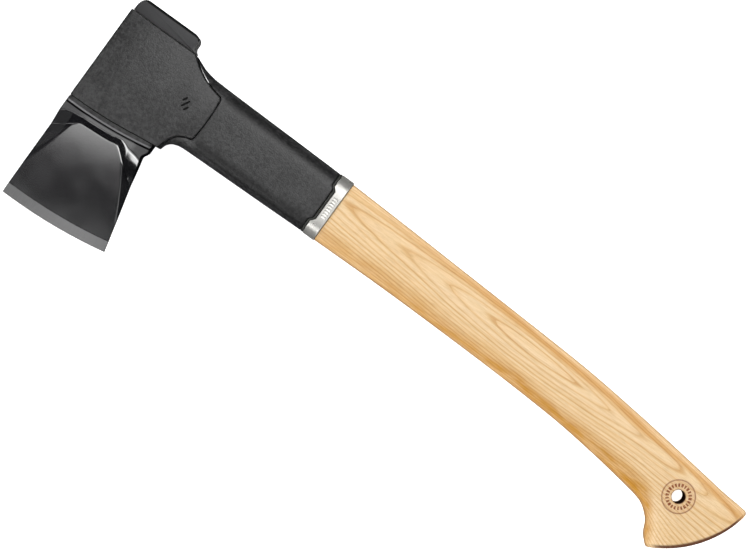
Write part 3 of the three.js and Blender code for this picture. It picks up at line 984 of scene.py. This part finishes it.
def make_housing(material):
    half = HOUSING_HIGH[2] - MID
    cheek_edge = [(0, LIP_HALF), (0.55, half - 0.3), (0.7, half - 0.08), (0.95, half)]
    lip_edge = [(0, 14.9), (0.1, 15.3), (0.35, 15.65), (0.7, 15.95), (1.1, 16.14), (1.6, 16.26),
                (2.1, LIP_HALF)]
    housing = plate("head_housing_moulding", cheek_outline(), cheek_edge)
    combine(housing, plate("lips", lip_outline(), lip_edge), "UNION")
    left, right, neck = EYE_LEFT - GAP, EYE_RIGHT + GAP, 14.3 + GAP
    room = np.array([
        (-60, -70), (60, -70), (60, -33 + GAP), (right, -33 + GAP), (right, 17 + GAP),
        (neck, 25 + GAP), (neck, 60), (left, 60), (left, -37.1 + GAP), (-60, -37.1 + GAP),
    ], float)
    combine(housing, plate("forging_room", room, [(0, EYE_HALF + GAP)]), "DIFFERENCE")
    spigot_size = (SPIGOT_WIDTH + GAP, SPIGOT_HALF + GAP)
    spigot = straight("spigot_room", EYE_RIGHT - 1, BEYOND_CHEEK, *spigot_size)
    combine(housing, spigot, "DIFFERENCE")
    combine(housing, mark_cutter(), "DIFFERENCE")
    finish_piece(housing, "head_housing", material)


# ---- forged head

# Half thicknesses of the blade: at the edge, the bevel's upper border and the face's upper end.
EDGE_HALF, BEVEL_HALF, FACE_HALF = 0.12, 1.9, 10.3
# The facets along the toe and the heel: half thickness at the border, slope and hollow.
TOE_HALF, TOE_SLOPE, TOE_HOLLOW = 3.7, 0.36, 0.018
SIDE_HALF, SIDE_SLOPE = 3.2, 0.57
WALL_RUN = 3.6  # length of the shoulder's wall in the middle
BLADE_COLUMNS = 150
BLADE_ROUND = 0.3  # bevel around the blade's border
FACE_RADIUS = 277.3
TOE_X = HEAD_LOW[0] + 0.1
HEEL_TOP, HEEL_SLOPE = np.array([26.3, -43.0]), 0.2533


def heel_x(y):
    """The head's border at the heel: the slanted side, and a bulge at the shoulder."""
    slant = HEEL_TOP[0] + (HEEL_TOP[1] - np.minimum(y, HEEL_TOP[1])) * HEEL_SLOPE
    return slant + 1.9 * smooth(-42.2, -37.6, y)


def blade_columns(radius):
    """Points across the blade at a given radius from the sweep's centre."""
    x_end = 30.0
    for _ in range(8):
        x_end = heel_x(sweep_y(radius, x_end))
    x = TOE_X + (x_end - TOE_X) * np.linspace(0, 1, BLADE_COLUMNS)
    y = sweep_y(radius, x)
    from_toe = x - TOE_X
    from_heel = (heel_x(y) - x) * math.cos(math.atan(HEEL_SLOPE))
    return x, y, from_toe, from_heel


def face_height(radius):
    """Half the blade's thickness in the middle: a hollow face and a flat bevel."""
    s = (BEVEL_RADIUS - radius) / (BEVEL_RADIUS - FACE_RADIUS)
    face = BEVEL_HALF + (FACE_HALF - BEVEL_HALF) * (0.5 * s + 0.5 * s * s)
    t = (EDGE_RADIUS - radius) / (EDGE_RADIUS - BEVEL_RADIUS)
    bevel = EDGE_HALF + (BEVEL_HALF - EDGE_HALF) * t
    return np.where(radius > BEVEL_RADIUS, bevel, face)


def soft_min(a, b, width):
    """The smaller of two heights, rounded where they meet."""
    mix = np.clip(0.5 + 0.5 * (b - a) / width, 0, 1)
    return b + (a - b) * mix - width * mix * (1 - mix)


def hump(value, centre, width):
    """1 at the centre, fading to 0 on both sides."""
    return np.exp(-((value - centre) / width) ** 2)


def blade_height(radius, from_toe, from_heel):
    """Half the blade's thickness: the face, its two side facets and the wall of the shoulder.

    The shoulder's border drops at both ends. Its wall is steep in the middle, leans at the toe,
    and rolls over into the facet at the heel.
    """
    height = np.full(len(from_toe), float(face_height(radius)))
    toe_facet = TOE_HALF + TOE_SLOPE * from_toe + TOE_HOLLOW * from_toe ** 2
    height = soft_min(height, toe_facet, 1.0)
    height = soft_min(height, SIDE_HALF + SIDE_SLOPE * from_heel, 0.5)
    border = SHOULDER_RADIUS + 4.4 * np.exp(-from_toe / 4.5) + 5 * np.exp(-from_heel / 7)
    border -= 1.1 * hump(from_heel, 15.5, 4)
    near_toe = np.exp(-(from_toe / 11) ** 4)
    near_heel = smooth(16.0, 8.5, from_heel)
    face_corner = hump(from_heel, 14, 2.5)
    run = WALL_RUN + 6.5 * near_toe + 1.8 * face_corner
    run += (13.5 - 0.69 * from_heel) * near_heel
    fall = np.clip((radius - border) / run, 0, 1)
    sunk = (1 - fall) ** (1.0 + 0.5 * smooth(10, 17, from_toe) + 0.3 * face_corner)
    rolled = 1 - fall ** 1.5
    return height + (EYE_HALF - height) * (sunk + (rolled - sunk) * near_heel)


def softened(height):
    """Heights with their creases rounded, each height averaged with its neighbours."""
    padded = np.pad(height, 1, mode="edge")
    rows = (padded[:-2] + 2 * padded[1:-1] + padded[2:]) / 4
    return (rows[:, :-2] + 2 * rows[:, 1:-1] + rows[:, 2:]) / 4


def blade_grid():
    """Points over one side of the blade, with close rows at the shoulder and the bevel."""
    radii = np.concatenate([
        [267.2, 269.5], np.arange(271.5, 292, 0.45), np.arange(292, 331.5, 1.2),
        np.arange(331.6, 335.2, 0.4), np.arange(335.6, 339.9, 0.8), [EDGE_RADIUS],
    ])
    rows = []
    for radius in radii:
        x, y, toe, heel = blade_columns(radius)
        rows.append(np.column_stack([x, y, blade_height(radius, toe, heel)]))
    grid = np.array(rows)
    near_shoulder = smooth(291, 284, radii)[:, None]
    grid[..., 2] += (softened(grid[..., 2]) - grid[..., 2]) * near_shoulder
    return grid


def blade_solid():
    """Both sides of the blade, joined by a bevelled border."""
    grid = blade_grid()
    points = grid.reshape(-1, 3)
    number = np.arange(len(points)).reshape(grid.shape[:2])
    border = np.concatenate([number[0], number[1:, -1], number[-1, -2::-1], number[-2:0:-1, 0]])
    loop = points[border]
    vertices, faces = [], []
    for side in (1, -1):
        corners = (number[:-1, :-1].ravel() + len(vertices)).tolist()
        faces += [(a, a + 1, a + BLADE_COLUMNS + 1, a + BLADE_COLUMNS) for a in corners]
        vertices += raised(points[:, :2], MID + side * points[:, 2]).tolist()
    outer = inset(loop[:, :2], -BLADE_ROUND)
    drop = np.minimum(BLADE_ROUND, loop[:, 2] * 0.5)
    strips = [border.tolist()]
    for side in (1, -1):
        first = len(vertices)
        vertices += raised(outer, MID + side * (loop[:, 2] - drop)).tolist()
        strips.append(list(range(first, first + len(loop))))
    strips.append((border + number.size).tolist())
    for upper, lower in zip(strips, strips[1:]):
        faces += strip(upper, lower)
    return new_object("forging", vertices, faces)


def poll_outline():
    """The poll seen from above, with a small foot beside the housing."""
    left, right, top, bottom = -30.2, 14.3, HEAD_HIGH[1] - 0.1, 27.0
    return np.vstack([
        [(left - 0.4, bottom), (16.6, bottom)],
        fillet((16.6, bottom), (16.6, 29.6), (14.6, 30.9), 0.4, 3),
        bezier([(15.6, 30.3), (14.6, 30.9), (right, 32.6)], 6),
        [(right, 32.6)],
        bezier([(right, 34.6), (right - 0.2, top - 0.4), (right - 4.6, top)], 12),
        [(right - 4.6, top)],
        bezier([(left + 5.4, top), (left + 1.2, top - 0.2), (left, 33.6)], 12),
        [(left, 33.6)],
    ])


def poll_solid():
    """The poll, cut off flat just above the housing."""
    block = plate("poll_block", poll_outline(), rounded(15.5, 1.0))
    low = HOUSING_HIGH[1] + GAP
    room = np.array([(-60, low), (60, low), (60, 60), (-60, 60)], float)
    combine(block, plate("poll_room", room, [(0, 40)]), "INTERSECT")
    return block


def make_head():
    head = blade_solid()
    block = np.array([
        (EYE_LEFT, -39), (24, -39), (EYE_RIGHT, -34), (EYE_RIGHT, 17), (13.8, 25),
        (13.8, 32), (EYE_LEFT, 32),
    ], float)
    combine(head, plate("eye_block", block, [(0, EYE_HALF - 0.15)]), "UNION")
    combine(head, poll_solid(), "UNION")
    hole = straight("eye_hole", EYE_LEFT - 9, EYE_RIGHT + 20, TENON_WIDTH + 0.4, TENON_HALF + 0.4)
    combine(head, hole, "DIFFERENCE")
    finish_piece(head, "forged_head", steel_material(), angle=24)


# ---- camera, light and floor

CAMERA_DISTANCE = 2.5
CAMERA_ROLL = 35.9
VIEW_CENTRE = (186.7, -16.8)
VIEW_WIDTH = 466.4


def make_camera():
    data = bpy.data.cameras.new("camera")
    data.sensor_width = 36
    data.lens = data.sensor_width * CAMERA_DISTANCE / (VIEW_WIDTH * MM)
    data.clip_end = 60
    camera = add_object("camera", data)
    camera.location = (VIEW_CENTRE[0] * MM, VIEW_CENTRE[1] * MM, MID * MM + CAMERA_DISTANCE)
    camera.rotation_euler = (0, 0, math.radians(CAMERA_ROLL))
    bpy.context.scene.camera = camera


LIGHTS_AIM = (0.12, -0.02, 0.02)  # in metres


def soft_light(name, tilt, bearing, distance, size, power):
    """An area light that faces the hatchet, tilt degrees off the vertical, towards bearing."""
    data = bpy.data.lights.new(name, "AREA")
    data.shape = "RECTANGLE"
    data.size, data.size_y = size
    data.energy = power
    light = add_object(name, data)
    tilt, bearing = math.radians(tilt), math.radians(bearing)
    way = (math.sin(tilt) * math.cos(bearing), math.sin(tilt) * math.sin(bearing), math.cos(tilt))
    light.location = [aim + distance * w for aim, w in zip(LIGHTS_AIM, way)]
    light.rotation_euler = (0, tilt, bearing)
    light.visible_camera = False


def make_lights():
    soft_light("overhead", 0, 90, 1.5, (0.63, 1.2), 2.4)
    soft_light("poll_side", 23, 90, 1.5, (0.7, 1.0), 6.6)
    soft_light("blade_side", 36.8, -104, 1.5, (0.58, 0.8), 3.0)
    soft_light("heel_strip", 66, -58, 1.5, (0.3, 0.8), 2.0)
    soft_light("arch_glint", 52, -118, 1.5, (0.7, 0.5), 5.5)
    soft_light("knob_strip", 66, 45, 1.5, (0.3, 1.0), 4.0)
    soft_light("front_strip", 66, 135, 1.5, (0.3, 1.0), 4.0)
    soft_light("toe_side", 60, 180, 1.5, (0.6, 1.0), 0.3)
    soft_light("ceiling", 0, 0, 2.4, (4.0, 4.0), 2.2)
    world = bpy.data.worlds.new("studio")
    world.use_nodes = True
    n = Nodes(world)
    _, _, height = n.split(n.place)
    sky = n.between(height, -0.1, 0.4, 0.04, 0.095)
    n.link(sky, world.node_tree.nodes["Background"].inputs["Strength"])
    bpy.context.scene.world = world


def make_floor():
    """A pale floor that curves up far away. It takes shadows, and is hidden from reflections."""
    profile = ((0.4, 0), (2, 0), (8, 0), (11, 0.3), (13, 1.5), (14, 4), (14, 9))
    rings = [raised(circle(radius), height) / MM for radius, height in profile]
    loops, faces = loops_of(rings)
    floor = new_object("studio_floor", np.vstack(rings), [tuple(loops[0])] + faces)
    floor.data.shade_smooth()
    material, shader = new_material("pale_floor", roughness=0.9)
    shader.inputs["Base Color"].default_value = (0.9, 0.9, 0.9, 1)
    shader.inputs["Emission Color"].default_value = (1, 1, 1, 1)
    shader.inputs["Emission Strength"].default_value = 0.85
    floor.data.materials.append(material)
    floor.visible_glossy = False


# ---- the hatchet

bpy.context.scene.view_settings.view_transform = "Standard"
make_camera()
make_lights()
make_floor()

moulding = composite_material()
make_head()
make_housing(moulding)
make_sleeve(moulding)
make_gasket()
make_collar()
make_handle()

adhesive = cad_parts["tenon_adhesive"]
adhesive.data.materials.clear()
adhesive.data.materials.append(adhesive_material())
